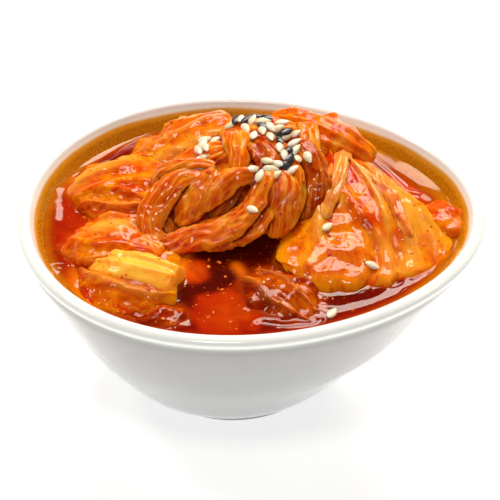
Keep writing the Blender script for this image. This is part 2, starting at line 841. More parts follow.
LEAVES = (
    Ribbon("folded_leaf", (
        (3.2, 27.0, 41.6, 9, 6.0, 0), (8.7, 25.1, 43.0, 13, 7.4, 0), (13.7, 22.5, 43.2, 15, 7.8, 0),
        (18.7, 20.3, 42.2, 13.5, 7.6, 0), (25.0, 17.7, 39.8, 7, 5.4, 0)),
        rows=120, points=130, arch=1.8, ruffle=0.9, waves=4.5, ragged=0.14, furrow_depth=0.1, furrow_width=2.0,
        lump_depth=0.6, lump_size=5.0, margin=0.7, blunt=0.5, seed=1.0,
        creases=(Crease(0.2, 0.12, 0.8), Crease(-0.35, 0.14, 0.6, pale=0.3), Crease(0.65, 0.12, 0.5))),
    Ribbon("fan_leaf", (
        (15.0, 18.0, 40.6, 15, 4.6, 0), (16.4, 11.2, 41.4, 20, 5.2, 4), (18.9, 3.6, 40.4, 27, 5.4, 5),
        (21.6, -5.3, 38.9, 33.5, 4.8, 3), (23.0, -12.8, 37.5, 36.0, 3.6, 0), (22.9, -18.4, 36.6, 34, 2.4, 0)),
        rows=130, points=230, arch=1.9, ruffle=0.15, ragged=0.02, fibre_depth=0.03, furrow_depth=0.08,
        furrow_width=3.0, lump_depth=0.36, lump_size=4.5, crinkle=0.6, ripple_depth=0.05, scallop=0.8, sauced_start=1.0, blunt=0.9, end_round=2.6, margin=0.9, seed=2.0,
        front=((-1.05, -12.5), (-0.90, -8.6), (-0.77, -5.6), (-0.62, -3.2), (-0.52, -2.6), (-0.38, -2.0),
               (-0.22, 0.5), (-0.08, 0.4), (0.0, 0.0), (0.14, 1.9), (0.54, 2.4), (0.80, 1.0), (0.95, -2.0), (1.05, -6.5)),
        creases=(
            Crease(0.40, 0.08, 1.1, 0.05, 0.62, 1.0), Crease(0.18, 0.06, 0.6, 0.05, 0.5, 0.8),
            Crease(-0.10, 0.09, 1.3, 0.0, 0.62, 0.0), Crease(-0.40, 0.05, 0.7, 0.1, 0.65, 0.9),
            Crease(-0.54, 0.05, 0.6, 0.1, 0.7, 0.9), Crease(-0.80, 0.14, 0.3, 0.2, 0.85, 1.0),
            Crease(-0.03, 0.05, -1.0, 0.62, 1.1), Crease(-0.40, 0.05, -1.0, 0.62, 1.1),
            Crease(-0.76, 0.05, -0.8, 0.62, 1.1), Crease(0.42, 0.34, 0.5, 0.66, 1.1, 0.25),
            Crease(-0.20, 0.10, 0.3, 0.66, 1.1, 0.8), Crease(-0.56, 0.10, 0.3, 0.66, 1.1, 1.0))),
    Ribbon("back_left_leaf", (
        (-26.5, 15.6, 35.8, 8, 3.0, 0), (-20.8, 19.2, 38.2, 17, 4.4, 0), (-14.8, 22.4, 40.2, 19, 5.2, 0),
        (-9.3, 24.6, 42.0, 18, 5.4, 0), (-3.0, 26.0, 43.0, 13, 5.0, 0)),
        rows=110, points=130, arch=2.0, ruffle=0.5, waves=3.5, furrow_depth=0.15, furrow_width=2.2,
        lump_depth=0.6, lump_size=5.0, margin=0.5, blunt=0.5, seed=3.0,
        creases=(Crease(0.3, 0.15, 0.6, pale=0.8), Crease(-0.3, 0.12, 0.5, pale=0.5))),
    Ribbon("upper_left_leaf", (
        (-36.2, 7.8, 35.8, 11, 2.6, 0), (-33.4, 9.2, 37.4, 18, 3.6, 0), (-29.0, 9.6, 38.4, 22, 4.4, 0),
        (-23.0, 8.0, 39.2, 23, 4.6, 0), (-15.0, 5.0, 38.8, 18, 4.4, 0)),
        rows=120, points=150, arch=1.6, ruffle=0.4, waves=3.2, furrow_depth=0.15, furrow_width=1.8,
        lump_depth=0.6, lump_size=5.0, margin=0.4, blunt=0.6, seed=4.0,
        creases=(Crease(-0.66, 0.20, 0.4, 0.1, 0.6, 1.0), Crease(0.42, 0.07, 1.1, pale=0.4), Crease(-0.1, 0.10, 0.5),
                 Crease(0.75, 0.10, 0.4), Crease(0.15, 0.06, 0.6, 0.3, 0.9))),
    Ribbon("mid_left_leaf", (
        (-35.0, -1.4, 35.8, 10, 2.4, 0), (-32.8, -3.2, 37.4, 17, 3.6, 0), (-29.0, -4.6, 38.2, 21, 4.2, 0),
        (-23.6, -6.6, 38.2, 19, 4.2, 0), (-16.6, -9.4, 37.0, 12, 3.6, 0)),
        rows=110, points=140, arch=1.5, ruffle=0.4, sauced=0.35, furrow_depth=0.15, furrow_width=2.2, lump_depth=0.6,
        lump_size=5.0, margin=0.3, blunt=0.6, seed=5.0,
        creases=(Crease(-0.45, 0.08, 0.9, pale=0.3), Crease(0.0, 0.25, 0.3, 0.3, 0.7, 1.0), Crease(0.55, 0.12, 0.5),
                 Crease(-0.75, 0.08, 0.5, pale=0.3))),
    Ribbon("skirt_leaf", (
        (-33.6, -11.6, 35.4, 8, 2.0, 0), (-31.0, -16.6, 37.0, 13, 2.6, 6), (-26.4, -20.0, 37.9, 15, 2.6, 10),
        (-20.4, -22.4, 38.2, 12, 2.2, 14), (-14.6, -22.6, 38.2, 7, 1.4, 14)),
        rows=110, points=120, arch=1.4, ruffle=0.5, waves=1.8, furrow_depth=0.12, lump_depth=0.3, ripple_depth=0.07, margin=1.0, sauced=0.3,
        blunt=0.5, seed=7.0, creases=(Crease(0.2, 0.15, 0.5, pale=0.6),)),
    Ribbon("skirt_rim", (
        (-14.8, -22.6, 37.6, 1.4, 0.9, 0), (-17.6, -24.4, 37.8, 2.2, 1.0, 0), (-20.8, -25.2, 37.8, 2.4, 1.1, 0),
        (-23.0, -27.0, 37.2, 2.2, 1.0, 0), (-24.0, -29.4, 36.4, 1.6, 0.9, 0)),
        rows=70, points=50, arch=0.4, lump_depth=0.3, margin=1.0, rib=0.6, seed=37.0),
    Ribbon("front_left_leaf", (
        (-24.6, -27.6, 35.6, 6, 2.0, 0), (-19.0, -28.4, 36.8, 9, 2.6, 0), (-12.0, -27.4, 35.8, 7, 2.2, 0)),
        rows=60, points=70, arch=0.9, ruffle=0.3, lump_depth=0.5, blunt=0.5, seed=8.0),
    Ribbon("front_leaf", (
        (-1.0, -14.6, 35.4, 9, 3.0, 0), (4.0, -19.8, 36.6, 15, 3.8, 0), (8.0, -24.4, 36.8, 14, 3.8, 0),
        (13.0, -29.6, 35.6, 8, 2.4, 0)),
        rows=100, points=120, arch=1.2, ruffle=0.5, furrow_depth=0.1, lump_depth=0.6, lump_size=5.0, blunt=0.5,
        seed=9.0, creases=(Crease(0.4, 0.10, 0.6, pale=0.4), Crease(-0.35, 0.10, 0.5, pale=0.4))),
    Ribbon("far_right_leaf", (
        (37.2, 7.5, 36.6, 6, 3.0, 0), (39.3, 1.9, 38.1, 8, 4.0, 0), (40.0, -4.3, 37.2, 6, 3.2, 0)),
        rows=60, points=80, arch=1.0, ruffle=0.4, lump_depth=0.6, margin=0.4, blunt=0.5, seed=10.0),
    Ribbon("curled_leaf", (
        (-26.4, 15.4, 37.8, 3.0, 1.6, 0), (-24.6, 18.2, 39.6, 5.4, 2.0, 10), (-21.8, 19.6, 40.4, 5.0, 1.8, 20),
        (-20.4, 17.0, 40.0, 3.0, 1.4, 30)),
        rows=60, points=60, arch=1.4, ruffle=0.4, lump_depth=0.4, margin=0.5, seed=27.0),
)

STEM = Ribbon("cut_stem", (
    (-32.6, -12.0, 36.3, 7, 2.4, 0), (-28.0, -13.8, 38.2, 10, 4.0, 0), (-21.3, -16.9, 39.2, 9.5, 4.6, 0),
    (-14.6, -20.0, 38.7, 8.5, 4.8, 0)),
    rows=90, points=90, arch=1.4, ragged=0.03, fibre_depth=0.03, furrow_depth=0.16, furrow_width=2.6,
    lump_depth=0.2, lump_size=4.0, crinkle=0.0, end_round=0.8, blunt=0.75, rib=0.6, margin=0.6, sauced_start=1.2, seed=6.0,
    creases=(Crease(0.35, 0.12, 0.4), Crease(-0.35, 0.12, 0.4), Crease(0.0, 0.12, -0.3)))

SUNK = (
    Ribbon("sunk_block", (
        (-11.2, -30.4, 32.6, 9, 2.4, 0), (-7.0, -28.2, 33.4, 13, 2.8, 0), (-2.4, -26.2, 33.6, 14, 2.8, 0),
        (1.6, -24.8, 33.0, 12, 2.4, 0)), rows=50, points=50, arch=0.8, lump_depth=0.7, ragged=0.3, blunt=0.7,
        seed=31.0),
    Ribbon("sunk_chunk", (
        (-15.6, -15.6, 33.0, 6, 2.4, 0), (-12.2, -14.2, 34.4, 8, 2.6, 0), (-8.6, -13.4, 33.2, 7, 2.4, 0)),
        rows=50, points=50, blunt=0.6, seed=32.0),
    Ribbon("sunk_stem", (
        (-3.6, -11.0, 35.4, 2.2, 1.2, 0), (-1.8, -14.8, 36.0, 2.4, 1.2, 0), (-0.3, -18.8, 35.2, 1.8, 1.0, 0)),
        rows=40, points=30, seed=33.0),
    Ribbon("sunk_left", (
        (-37.0, 16.0, 32.4, 8, 2.0, 0), (-36.4, 6.0, 32.8, 12, 2.4, 0), (-35.6, -8.0, 32.8, 12, 2.4, 0),
        (-31.6, -18.0, 32.4, 9, 2.0, 0)), rows=90, points=60, ruffle=0.8, lump_depth=0.8, blunt=0.5, seed=34.0),
    Ribbon("sunk_middle", (
        (-31.6, -5.0, 36.4, 20, 2.4, 0), (-24.0, -4.0, 37.5, 28, 2.8, 0), (-16.0, -4.0, 37.3, 26, 2.8, 0),
        (-12.0, -4.0, 34.6, 18, 2.4, 0)), rows=90, points=80, ruffle=0.6, lump_depth=0.6, blunt=0.5, seed=36.0),
    Ribbon("sunk_right", (
        (27.0, 18.0, 30.4, 8, 2.0, 0), (31.0, 12.0, 31.4, 12, 2.4, 0), (34.0, 2.0, 31.6, 12, 2.4, 0),
        (33.0, -10.0, 31.0, 8, 2.0, 0)), rows=90, points=60, ruffle=0.8, lump_depth=0.8, blunt=0.5, seed=35.0),
)

STRIPS = (
    Strip("left_arc_strip", (
        (-7.3, 6.7, 48.2, 4.0, 1.0, 10), (-12.8, 7.3, 48.3, 4.0, 1.0, 10), (-17.6, 8.1, 46.3, 4.2, 1.0, 0),
        (-19.9, 7.1, 42.5, 5.2, 1.1, -20), (-20.1, 5.3, 38.0, 4.6, 1.0, -30)), pleats=2.2, margin=0.5, seed=11.0),
    Strip("left_loop_strip", (
        (-9.8, 5.9, 47.8, 5.6, 1.1, 0), (-15.3, 3.5, 46.8, 6.2, 1.2, -10), (-19.5, -0.7, 43.2, 6.6, 1.2, -25),
        (-20.5, -4.9, 40.0, 5.6, 1.2, -35), (-17.7, -7.7, 38.2, 4.4, 1.1, -30)), pleats=1.6, margin=0.5, seed=12.0),
    Strip("broad_left_strip", (
        (-7.6, 5.9, 48.0, 8.0, 1.2, 10), (-11.3, 2.5, 46.0, 9.0, 1.3, 5), (-13.3, -0.7, 42.6, 8.0, 1.3, 0),
        (-14.5, -3.3, 39.2, 5.4, 1.1, 0)), points=80, pleats=2.6, arch=1.4, margin=0.5, seed=13.0),
    Strip("long_lower_strip", (
        (-19.2, -8.3, 38.4, 4.2, 1.2, 20), (-12.8, -6.9, 39.8, 6.2, 1.4, 20), (-6.3, -5.7, 41.4, 7.4, 1.5, 10),
        (-0.9, -3.5, 44.0, 6.8, 1.5, 0), (1.9, 0.5, 47.4, 5.6, 1.4, -10), (3.1, 3.9, 49.0, 4.4, 1.2, -10)),
        rows=120, points=80, pleats=3.2, margin=0.5, sauced=0.5, seed=14.0),
    Strip("torn_strip", (
        (-9.5, -8.5, 38.6, 2.4, 0.9, 10), (-3.9, -6.5, 40.2, 6.2, 1.3, 10), (0.9, -4.9, 42.2, 6.2, 1.4, 0),
        (3.3, -1.9, 44.6, 5.0, 1.3, -10)), ragged=0.35, pleats=2.4, margin=0.5, sauced=0.8, seed=15.0),
    Strip("hook_strip", (
        (0.7, 3.1, 48.6, 3.6, 1.1, 0), (-3.5, 2.7, 48.6, 5.4, 1.2, -10), (-6.7, 0.9, 46.4, 5.4, 1.2, -20),
        (-10.3, -1.9, 43.2, 1.8, 0.9, -20)), pleats=1.4, arch=1.4, margin=0.5, seed=16.0),
    Strip("upright_strip", (
        (-3.7, 17.1, 49.3, 5.8, 1.1, 0), (-2.9, 12.7, 50.0, 6.4, 1.2, 10), (-2.5, 8.7, 49.4, 5.6, 1.2, 15),
        (-3.1, 5.1, 47.4, 4.0, 1.1, 10)), pleats=2.4, margin=0.5, seed=17.0),
    Strip("arched_strip", (
        (0.1, 16.1, 49.4, 6.4, 1.2, 0), (2.7, 11.7, 50.2, 8.4, 1.3, -5), (4.5, 7.3, 49.8, 8.4, 1.4, -5),
        (4.3, 3.1, 48.0, 6.2, 1.2, 0)), points=80, pleats=2.8, margin=0.3, sauced=1.1, seed=18.0),
    Strip("front_strip", (
        (5.1, 4.3, 48.8, 7.0, 1.3, 5), (5.5, 0.3, 47.2, 8.6, 1.5, 5), (5.5, -3.3, 43.8, 7.8, 1.5, 0),
        (4.7, -6.9, 39.8, 3.6, 1.2, -5)), points=84, pleats=3.4, margin=0.4, sauced=0.4, seed=19.0),
    Strip("right_flank_strip", (
        (8.7, 13.1, 49.2, 5.2, 1.6, 20), (11.5, 7.7, 47.8, 7.4, 2.0, 25), (12.1, 2.1, 44.4, 8.0, 2.2, 20),
        (10.3, -2.7, 40.4, 6.0, 1.8, 10)), points=72, pleats=1.2, arch=1.2, margin=0.4, sauced=0.7, seed=20.0),
    Strip("back_right_strip", (
        (9.3, 23.1, 46.4, 4.4, 1.1, 10), (10.9, 18.7, 48.6, 5.2, 1.2, 15), (11.9, 14.1, 48.2, 4.8, 1.2, 20),
        (12.7, 9.3, 45.8, 3.6, 1.1, 20)), pleats=2.4, margin=0.5, seed=21.0),
    Strip("back_edge_strip", (
        (-6.5, 20.7, 46.0, 6.4, 1.4, -10), (0.1, 20.7, 48.6, 7.6, 1.5, -15), (6.1, 19.5, 48.8, 7.6, 1.5, -15),
        (10.1, 21.3, 47.0, 5.4, 1.3, -10)), points=72, pleats=2.4, margin=0.5, seed=22.0),
    Strip("left_back_strip", (
        (-5.0, 13.0, 48.6, 5.0, 1.1, 10), (-10.0, 12.6, 47.2, 6.0, 1.2, 0), (-14.6, 12.2, 44.6, 5.4, 1.2, -10),
        (-18.4, 12.0, 41.0, 3.4, 1.0, -15)), pleats=2.4, margin=0.5, seed=23.0),
    Strip("under_loop_strip", (
        (-13.0, 9.6, 46.6, 4.6, 1.1, 0), (-16.8, 5.6, 44.6, 5.4, 1.2, -20), (-17.6, 0.4, 41.6, 5.0, 1.2, -30),
        (-15.4, -4.6, 39.0, 3.8, 1.0, -30)), pleats=2.2, margin=0.5, seed=24.0),
    Strip("inner_strip", (
        (1.6, 7.6, 48.2, 4.2, 1.1, 0), (-2.6, 5.0, 46.6, 5.0, 1.2, -10), (-5.4, 1.4, 44.0, 5.4, 1.2, -15),
        (-7.6, -2.6, 41.2, 4.0, 1.1, -15)), pleats=2.2, margin=0.5, seed=25.0),
    Strip("left_rib_band", (
        (19.4, 17.0, 44.2, 3.0, 1.2, 0), (18.0, 11.0, 45.5, 4.4, 1.4, 4), (16.4, 3.6, 44.7, 4.8, 1.4, 6),
        (14.4, -4.0, 42.5, 3.2, 1.1, 6)), rows=100, pleats=2.4, ragged=0.22, rib=0.5, seed=28.0),
    Strip("right_rib_band", (
        (23.0, 13.6, 43.6, 2.6, 1.2, 0), (26.4, 7.0, 43.6, 3.8, 1.4, -8), (29.6, -0.6, 42.3, 3.8, 1.4, -10),
        (32.0, -7.6, 40.7, 2.4, 1.1, -6)), rows=100, pleats=2.0, ragged=0.25, rib=0.3, sauced=0.2, seed=29.0),
    Strip("right_thread_strip", (
        (7.6, 8.6, 49.2, 2.4, 0.9, 0), (9.2, 4.2, 48.0, 3.0, 1.0, 10), (9.4, -0.4, 45.2, 3.0, 1.0, 10),
        (7.6, -5.4, 41.0, 1.8, 0.8, 10)), pleats=1.4, margin=0.5, seed=26.0),
)


@dataclass
class Cabbages:
    """All the leaves and strips, and what is under the strips."""

    core: Sequence[tuple[tuple[float, float, float], tuple[float, float, float]]] = (
        ((1.0, 8.7, 38.0), (13.6, 11.0, 9.6)),
        ((-9.3, 4.2, 37.0), (8.0, 7.0, 6.8)),
        ((7.5, 12.7, 39.6), (8.6, 8.2, 8.2)),
        ((-1.0, 18.0, 39.6), (9.0, 6.0, 7.6)),
    )
    dark: Sequence[str] = ("front_left_leaf", "front_leaf")
    brown: Sequence[str] = ("arched_strip", "right_flank_strip", "under_loop_strip", "inner_strip")
    drowned_orange: Colour = tint("F89008")
    drowned_brown: Colour = tint("A84000")
    nodes: dict[str, str] = field(default_factory=lambda: {
        "folded_leaf": "leaf_fold", "fan_leaf": "leaf_fan", "back_left_leaf": "leaf_back_left",
        "upper_left_leaf": "leaf_upper_left", "mid_left_leaf": "leaf_mid_left", "skirt_leaf": "leaf_skirt",
        "front_left_leaf": "leaf_front_left", "front_leaf": "leaf_front", "far_right_leaf": "leaf_far_right",
        "cut_stem": "rib_lower_left", "heap_core": "strip_heap"})

    @property
    def pieces(self) -> Sequence[Ribbon]:
        """Every leaf, rib and strip."""
        return (*LEAVES, *SUNK, STEM, *STRIPS)

    def core_mesh(self) -> bmesh.types.BMesh:
        """The lumps that the strips lie on."""
        bm = bmesh.new()
        for middle, radii in self.core:
            place = Matrix.Translation(middle) @ Matrix.Diagonal((*radii, 1))
            bmesh.ops.create_icosphere(bm, subdivisions=5, radius=1.0, matrix=place)
        bm.normal_update()
        grain = bm.verts.layers.float_vector.new("grain")
        soak = bm.verts.layers.float.new("soak")
        for vert in bm.verts:
            vert[grain] = vert.co
            vert[soak] = 0.5
            vert.co += vert.normal * (0.8 * noise.noise(vert.co / 2.6) + 0.3 * noise.noise(vert.co / 0.9))
        return bm

    def build(self) -> Ground:
        """Make every piece.

        Returns:
            Their surfaces together.
        """
        leaf, soaked, strip, stem = (
            finish.material() for finish in (LEAF_FINISH, SOAKED_FINISH, STRIP_FINISH, RIB_FINISH))
        brown_strip = BROWN_FINISH.material()
        special = {name: soaked for name in self.dark} | {name: brown_strip for name in self.brown}
        special |= {STEM.name: stem, "skirt_leaf": SKIRT_FINISH.material()}
        meshes = {ribbon.name: ribbon.build() for ribbon in self.pieces}
        meshes["heap_core"] = self.core_mesh()
        stringy = {ribbon.name for ribbon in STRIPS} | {"heap_core"}
        ground = Ground()
        for name, bm in meshes.items():
            brown = name in stringy or name in self.dark
            ground.add(bm, self.drowned_brown if brown else self.drowned_orange)
        ground.close()
        for name, bm in meshes.items():
            ground.paint_crevices(bm)
            slot = Slot.STRIP if name in stringy else Slot.LEAF
            material = special.get(name, strip if name in stringy else leaf)
            nodes = [self.nodes[name]] if name in self.nodes else []
            finished_piece(name, bm, slot, material, nodes)
        return ground


# ---------------------------------------------------------------- juice

@dataclass(frozen=True)
class Swell:
    """A low ridge of the juice along a line of places, with its height and half width."""

    line: Sequence[tuple[float, float]]
    height: float
    width: float

    def at(self, plan: Vector) -> float:
        """How much it lifts the juice at a place."""
        nearest = self.width * 4
        for start, end in zip(self.line, self.line[1:]):
            first, second = Vector(start), Vector(end)
            share = min(max((plan.xy - first).dot(second - first) / (second - first).length_squared, 0.0), 1.0)
            nearest = min(nearest, (plan.xy - first.lerp(second, share)).length)
        return self.height * bell(nearest, 0.0, self.width)


SWELLS = (
    Swell(((25.2, 27.0), (31.3, 22.6), (36.4, 16.6), (40.4, 10.2)), 0.30, 2.2),
    Swell(((25.1, 23.9), (29.0, 18.4), (31.9, 13.3), (36.0, 11.6), (38.9, 8.1), (40.1, 4.6)), 0.25, 1.0),
    Swell(((-31.0, 20.0), (-26.0, 26.0), (-18.5, 33.2), (-10.0, 38.0), (6.6, 40.0)), 0.35, 2.4),
    Swell(((-39.8, 19.0), (-41.0, 12.8), (-40.6, 7.6), (-41.0, 2.0), (-39.4, -12.0)), 0.5, 2.7),
    Swell(((11.0, -24.8), (17.3, -25.2), (23.3, -23.0), (28.3, -19.9), (33.8, -14.6)), 0.22, 1.5),
    Swell(((2.2, -29.0), (7.0, -29.6), (12.0, -29.0)), 0.4, 1.6),
    Swell(((-34.4, -17.0), (-31.0, -20.6)), 0.6, 2.0),
)


@dataclass
class Juice:
    """The juice up to its surface, which climbs a little at the wall and at every piece."""

    bowl: Bowl
    wall: BVHTree
    ground: Ground
    columns: int = 230
    rows: int = 210
    into_wall: float = 0.15
    wall_rise: float = 0.6
    wall_reach: float = 1.6
    piece_rise: float = 0.2
    piece_reach: float = 1.1
    amber: Colour = tint("D08C08")
    clearer: float = 0.6
    scatter: Colour = tint("580C00")
    thinning: tuple[float, float, float] = (0.14, 0.72, 3.2)
    blurs: int = 5

    def surface_height(self, plan: Vector, to_wall: float) -> float:
        """The height of the surface at a place."""
        rise = self.wall_rise * math.exp(-to_wall / self.wall_reach)
        swell = sum(swell.at(plan) for swell in SWELLS)
        ripple = 0.03 * noise.noise(Vector((plan.x / 6, plan.y / 6, 3.0)))
        return LEVEL + rise + swell + ripple

    def build(self) -> bpy.types.Object:
        """The juice as a piece."""
        bm = bmesh.new()
        bmesh.ops.create_grid(bm, x_segments=self.columns, y_segments=self.rows, size=1.0)
        turn = bm.verts.layers.float.new("turn")
        shade = bm.verts.layers.float_color.new("depth_colour")
        border = [edge for edge in bm.edges if edge.is_boundary]
        for vert in bm.verts:
            flat_x = vert.co.x * math.sqrt(1 - vert.co.y ** 2 / 2)
            flat_y = vert.co.y * math.sqrt(1 - vert.co.x ** 2 / 2)
            share = math.hypot(flat_x, flat_y)
            angle = math.atan2(flat_y, flat_x)
            vert[turn] = angle
            edge = self.bowl.wall(angle, LEVEL + self.wall_rise, -self.into_wall)
            plan = Vector((edge.x * share, edge.y * share, 0))
            to_wall = (1 - share) * edge.xy.length
            height = self.surface_height(plan, to_wall)
            edge = self.bowl.wall(angle, height, -self.into_wall)
            plan = Vector((edge.x * share, edge.y * share, height))
            near = self.ground.tree.find_nearest(plan)[3]
            plan.z += self.piece_rise * math.exp(-near / self.piece_reach)
            vert.co = plan
            vert[shade] = self.colour(plan)
        for _ in range(self.blurs):
            self.blur(bm, shade)
        for ring in self.bowl.inside[2:-1]:
            grown = bmesh.ops.extrude_edge_only(bm, edges=border)["geom"]
            for vert in (item for item in grown if isinstance(item, bmesh.types.BMVert)):
                vert.co = self.bowl.point(vert[turn], ring, -self.into_wall)
            border = [item for item in grown if isinstance(item, bmesh.types.BMEdge) and item.is_boundary]
        bmesh.ops.contextual_create(bm, geom=border)
        bmesh.ops.recalc_face_normals(bm, faces=bm.faces)
        return finished_piece("juice_surface", bm, Slot.JUICE, Broth().material(), ["juice"])

    def blur(self, bm: bmesh.types.BMesh, layer: bmesh.types.BMLayerItem) -> None:
        """Soften the painted colour, as cloudy juice does."""
        softened = []
        for vert in bm.verts:
            near = [edge.other_vert(vert)[layer] for edge in vert.link_edges]
            softened.append(sum(near, vert[layer] * 1.0) / (len(near) + 1))
        for vert, shade in zip(bm.verts, softened):
            vert[layer] = shade

    def colour(self, place: Vector) -> Colour:
        """The colour that shows through the juice at a place.

        Args:
            place: A point of the surface.

        Returns:
            The colour of what is under it, dimmed by its depth, and the juice's own.
        """
        down = Vector((0, 0, -1))
        depth = 40.0
        base = self.amber
        hit = self.wall.ray_cast(place, down)
        if hit[3] is not None:
            depth = hit[3]
        hit = self.ground.tree.ray_cast(place, down)
        if hit[3] is not None and hit[3] < depth:
            depth = hit[3]
            base = self.ground.colours[hit[2]]
        depth *= 1 - self.clearer * smooth_share(place.x, 0.0, 22.0) * smooth_share(place.y, -4.0, 12.0)
        through = [math.exp(-rate * depth) for rate in self.thinning]
        own = 1 - math.exp(-0.35 * depth)
        mixed = [part * pass_ * (1 - own * 0.5) + stray * own
                 for part, pass_, stray in zip(base, through, self.scatter)]
        return (*mixed, 1.0)


# ---------------------------------------------------------------- garnish

@dataclass(frozen=True)
class Seed:
    """Where a sesame seed lies, and the way that it points in degrees."""

    x: float
    y: float
    heading: float


@dataclass
class Sesame:
    """Sesame seeds, laid on what is under them."""

    ground: BVHTree
    sight: Vector
    length: float = 3.3
    width: float = 1.9
    thickness: float = 0.95
    height: float = 50.0

    def seed_mesh(self, bm: bmesh.types.BMesh, place: Matrix, scale: float) -> None:
        """Add one seed: an egg with a blunt point."""
        made = bmesh.ops.create_uvsphere(bm, u_segments=14, v_segments=10, radius=0.5)["verts"]
        for vert in made:
            x, y, z = vert.co.z, vert.co.x, vert.co.y
            taper = 1.0 - 0.55 * smooth_share(x, -0.1, 0.6) + 0.12 * x
            vert.co = Vector((x * self.length, y * self.width * taper, z * self.thickness * taper)) * scale
            vert.co = place @ vert.co

    def landing(self, x: float, y: float) -> tuple[Vector, Vector]:
        """Where the line of sight through a place at the seeds' height ends, and the way that it faces."""
        through = Vector((x, y, self.height))
        hit = self.ground.ray_cast(through - self.sight * 40, self.sight, 120)
        if hit[0] is None or hit[0].z < LEVEL:
            down = (self.height - LEVEL) / -self.sight.z
            return through + self.sight * down, Vector((0, 0, 1))
        return hit[0], hit[1]

    def build(self, name: str, seeds: Sequence[Seed], finish: Dry, slot: Slot) -> bpy.types.Object:
        """Make the seeds of one kind as one piece."""
        bm = bmesh.new()
        chance = random.Random(name)
        for seed in seeds:
            spot, normal = self.landing(seed.x, seed.y)
            normal = (normal + Vector((0, 0, 0.8))).normalized()
            heading = math.radians(seed.heading + chance.uniform(-8, 8))
            along = Vector((math.cos(heading), math.sin(heading), chance.uniform(-0.15, 0.15)))
            along = (along - normal * along.dot(normal)).normalized()
            turn = Matrix((along, normal.cross(along), normal)).transposed().to_4x4()
            lift = spot + normal * (self.thickness * 0.38)
            self.seed_mesh(bm, Matrix.Translation(lift) @ turn, chance.uniform(0.9, 1.06))
        bmesh.ops.recalc_face_normals(bm, faces=bm.faces)
        return finished_piece(name, bm, slot, finish.material())


@dataclass
class Scatter:
    """Small things strewn over what the camera sees of the cabbage and the juice."""

    ground: BVHTree
    bowl: Bowl
    low: float = 0.15
    high: float = 0.45
    turns: int = 8

    def spots(self, count: int, seed: int, dry: bool) -> list[tuple[Vector, Vector, float]]:
        """Places to put things.

        Args:
            count: How many places.
            seed: Which set of places.
            dry: Whether they are on the cabbage, not on the juice.

        Returns:
            Each place, the way that it faces and the size of its thing.
        """
        chance = random.Random(seed)
        found: list[tuple[Vector, Vector, float]] = []
        while len(found) < count:
            edge = self.bowl.wall(chance.uniform(0, 2 * math.pi), LEVEL)
            share = math.sqrt(chance.random()) * 0.97
            size = self.low + (self.high - self.low) * chance.random() ** 2
            start = Vector((edge.x * share, edge.y * share, 90))
            hit = self.ground.ray_cast(start, Vector((0, 0, -1)))
            above = hit[0] is not None and hit[0].z > LEVEL + 0.2
            if above and dry and hit[1].z > 0.2:
                found.append((hit[0], hit[1], size))
            elif not above and not dry:
                found.append((Vector((start.x, start.y, LEVEL)), Vector((0, 0, 1)), size))
        return found

    def build(self, name: str, spots: Sequence[tuple[Vector, Vector, float]], flat: float, jagged: float,
              finish: Dry, slot: Slot) -> bpy.types.Object:
        """Make the things as one piece.

        Args:
            name: The piece's name.
            spots: The places, from spots().
            flat: The height of a thing as a share of its width.
            jagged: How uneven a thing is, 0 for a bead.
            finish: Its finish.
            slot: Its slot.

        Returns:
            The piece.
        """
        bm = bmesh.new()
        chance = random.Random(name)
        for spot, normal, size in spots:
            turn = normal.to_track_quat("Z", "Y").to_matrix().to_4x4()
            turn = Matrix.Translation(spot) @ turn @ Matrix.Rotation(chance.uniform(0, 6.3), 4, "Z")
            shape = Matrix.Diagonal((size * chance.uniform(0.8, 1.5), size, size * flat, 1))
            bead = bmesh.new()
            bmesh.ops.create_uvsphere(
                bead, u_segments=self.turns, v_segments=self.turns // 2 + 1, radius=1.0, matrix=turn @ shape)
            for vert in bead.verts:
                vert.co += Vector([chance.uniform(-jagged, jagged) * size for _ in range(3)])
            absorb(bm, bead)
        return finished_piece(name, bm, slot, finish.material())


WHITE_SEEDS = (
    Seed(-2.2, 20.3, 84), Seed(-1.1, 16.9, -74), Seed(0.3, 19.8, 70), Seed(0.5, 14.1, 77), Seed(2.5, 19.4, 8),
    Seed(2.3, 15.7, -74), Seed(3.9, 13.6, -80), Seed(4.0, 17.2, -58), Seed(6.3, 18.9, 16), Seed(5.4, 16.8, 30),
    Seed(7.3, 14.5, 58), Seed(9.3, 15.1, 30), Seed(8.9, 11.7, 16), Seed(5.7, 9.8, -80), Seed(9.0, 9.2, 54),
    Seed(6.6, 7.3, -84), Seed(9.3, 6.2, 84), Seed(11.6, 6.7, -74), Seed(3.3, 5.3, -30), Seed(5.4, 4.3, -8),
    Seed(3.9, 2.7, -8), Seed(0.3, 2.7, 37), Seed(8.3, 2.3, 23), Seed(4.9, 0.7, 30), Seed(1.7, 0.4, 67),
    Seed(0.3, -1.6, -70), Seed(0.3, -10.8, -48), Seed(15.2, -16.4, 54), Seed(24.0, -29.0, 0),
    Seed(15.7, -44.0, 54), Seed(-4.1, 18.2, 16), Seed(-7.6, 13.1, 48), Seed(-9.8, 13.4, 30),
    Seed(-9.9, 11.5, 70), Seed(-10.7, 9.2, -63), Seed(-9.4, 10.1, -70), Seed(-10.0, 6.7, 16),
)
BLACK_SEEDS = (
    Seed(-1.0, 20.0, 43), Seed(0.9, 21.1, -23), Seed(3.2, 20.5, -30), Seed(2.4, 17.4, -43), Seed(5.3, 14.5, -48),
    Seed(7.2, 15.7, 43), Seed(5.8, 12.3, -70), Seed(7.7, 9.2, 54), Seed(7.7, 6.4, 70), Seed(6.9, 4.2, 48),
    Seed(-3.2, 19.9, 87),
)


# ---------------------------------------------------------------- the studio

